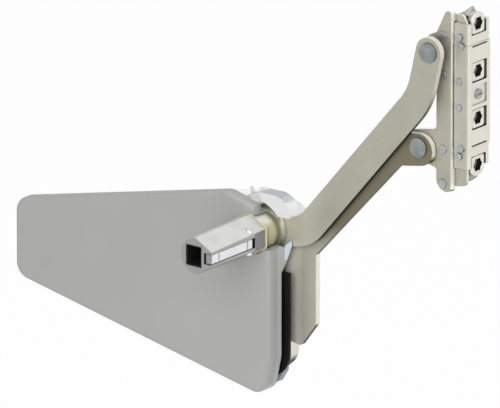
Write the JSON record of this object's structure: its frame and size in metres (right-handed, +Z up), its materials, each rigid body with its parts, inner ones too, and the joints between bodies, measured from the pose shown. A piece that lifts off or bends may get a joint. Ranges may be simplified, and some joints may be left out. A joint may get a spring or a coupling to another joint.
{
  "type": "lift-up flap fitting",
  "caption": "Sprung side fitting for a lift-up cabinet flap, shown open, with two levers, a flap bracket and a coupling for the cross bar.",
  "frame": {"origin": "on the lift axis, at the plane of the cabinet side that the tray is screwed to", "axes": "+X out of the cabinet towards the flap, +Z up, -Y from the cabinet side into the cabinet"},
  "size_m": [0.3499, 0.114, 0.2959],
  "materials": {
    "zinc_plated_sheet": "zinc plated, satin",
    "black_coated_sheet": "black coating, satin",
    "grey_plastic": "moulded, fine satin grain",
    "silver_plastic": "moulded, silver grey",
    "nickel_plated_steel": "nickel plated, satin",
    "bright_steel": "turned, bright",
    "turned_steel": "turned, lightly oiled",
    "hardened_steel": "ground and hardened",
    "spring_steel": "oiled spring wire",
    "die_cast_zinc": "die cast, plated",
    "latch_metal": "die cast, bright",
    "plug_metal": "die cast, satin",
    "bearing_plastic": "moulded, plain"
  },
  "bodies": {
    "housing": {"base_tray": "zinc_plated_sheet", "base_foot": "latch_metal", "mid_plate": "zinc_plated_sheet", "side_plate": "black_coated_sheet", "cover": "grey_plastic", "spacer_rivets": "bright_steel", "hub_guard": "silver_plastic", "hub_clip": "silver_plastic", "hub_bush": "bearing_plastic", "lower_pivot_pin": "bright_steel", "lower_washer": "bright_steel", "spring_anchor": "hardened_steel", "guide_rods": "bright_steel", "upper_spring": "spring_steel", "lower_spring": "spring_steel"},
    "main_lever": {"upper_lever": "nickel_plated_steel", "lever_neck": "nickel_plated_steel", "lift_shaft": "turned_steel", "lift_cam": "hardened_steel", "bar_coupling": "die_cast_zinc", "socket_liner": "bearing_plastic", "latch_studs": "latch_metal"},
    "second_lever": {"lower_lever": "nickel_plated_steel"},
    "flap_bracket": {"link_plate": "nickel_plated_steel", "lift_pin": "bright_steel", "tie_pin": "bright_steel", "lift_sleeve": "bright_steel", "carrier_channel": "nickel_plated_steel", "front_rail": "nickel_plated_steel", "link_rivets": "bright_steel", "rail_rivets": "bright_steel", "flap_plugs": "plug_metal", "centre_screw": "bright_steel", "clamp_block": "die_cast_zinc"},
    "carriage": {"spring_carriage": "hardened_steel", "roller_pin": "bright_steel"},
    "roller": {"cam_roller": "bright_steel"},
    "latch": {"bar_latch": "latch_metal"},
    "screw": {"tension_screw": "bright_steel"}
  },
  "joints": [
    {"name": "arm_lift", "type": "hinge", "parent": "housing", "child": "main_lever", "pos_m": [0, -0.0345, 0], "axis": [0, -1, 0], "range_deg": [-122, 0], "stiffness_Nm_per_rad": 1.2, "springref_deg": 171.89},
    {"name": "lower_arm_lift", "type": "hinge", "parent": "housing", "child": "second_lever", "pos_m": [-0.0114, -0.0295, -0.0678], "axis": [0, -1, 0], "range_deg": [-122, 0]},
    {"name": "bracket_level", "type": "hinge", "parent": "main_lever", "child": "flap_bracket", "pos_m": [0.1297, -0.0345, 0.1449], "axis": [0, -1, 0], "range_deg": [0, 122]},
    {"name": "carriage_travel", "type": "slide", "parent": "housing", "child": "carriage", "axis": [-0.9751, 0, -0.2215], "range_m": [0, 0.0108], "deforming": ["upper_spring", "lower_spring"]},
    {"name": "roller_spin", "type": "hinge", "parent": "carriage", "child": "roller", "pos_m": [-0.02145, -0.01275, -0.00487], "axis": [0, -1, 0], "continuous": true},
    {"name": "latch_slide", "type": "slide", "parent": "main_lever", "child": "latch", "axis": [0, 1, 0], "range_m": [0, 0.0025]},
    {"name": "tension_turn", "type": "hinge", "parent": "housing", "child": "screw", "pos_m": [-0.14594, -0.01275, -0.03469], "axis": [-0.9751, 0, -0.2215], "continuous": true}
  ],
  "couplings": [
    {"joint": "lower_arm_lift", "follows": "arm_lift", "ratio": 1},
    {"joint": "bracket_level", "follows": "arm_lift", "ratio": -1},
    {"joint": "carriage_travel", "follows": "arm_lift", "m_per_rad": -0.005}
  ]
}
